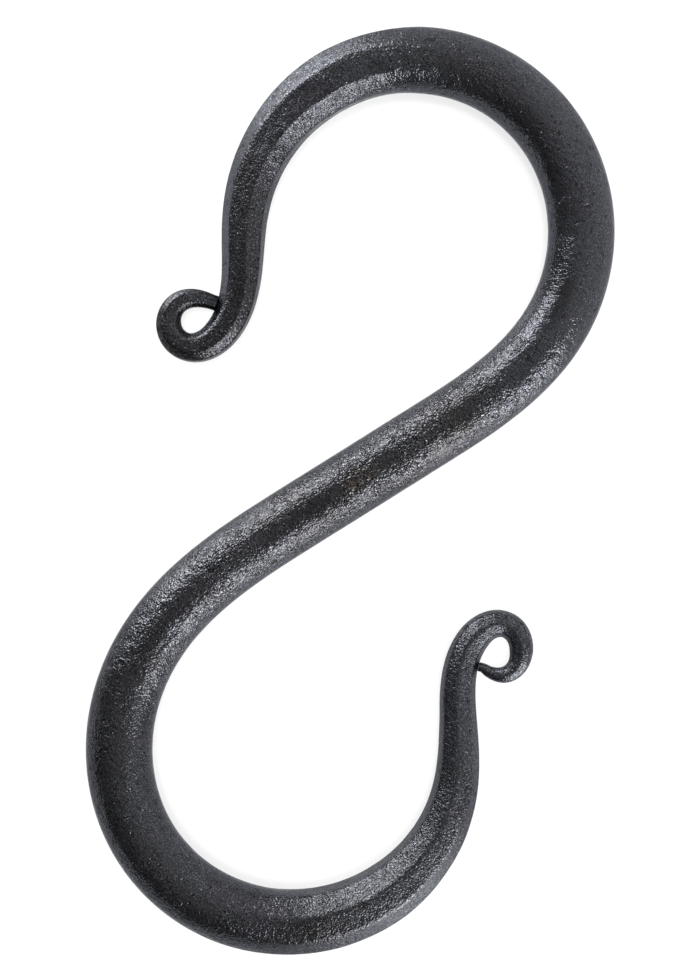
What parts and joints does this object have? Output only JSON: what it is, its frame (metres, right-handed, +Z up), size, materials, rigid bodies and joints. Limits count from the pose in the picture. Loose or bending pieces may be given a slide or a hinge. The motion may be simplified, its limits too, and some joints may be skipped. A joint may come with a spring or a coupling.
{
  "type": "s hook",
  "caption": "Forged S hook: a round steel bar bent into opposed open hooks, its ends drawn out to octagonal tapers that curl back outward into small closed eyes.",
  "frame": {"origin": "under the centre of the hook's bounding box, on the surface that it lies on (z = 0)", "axes": "the hook lies flat, as it comes to rest; +Y along the line of pull, from the lower bight to the upper bight; +X across the hook; +Z up, across the bar's thickness, which is 0 to 8 mm"},
  "size_m": [0.0532, 0.113, 0.008],
  "materials": {
    "blackened_steel": "forged mild steel, blackened and lightly waxed: dark slightly bluish grey, satin, fine forge grain"
  },
  "bodies": {
    "root": {"hook": "blackened_steel"}
  },
  "joints": []
}
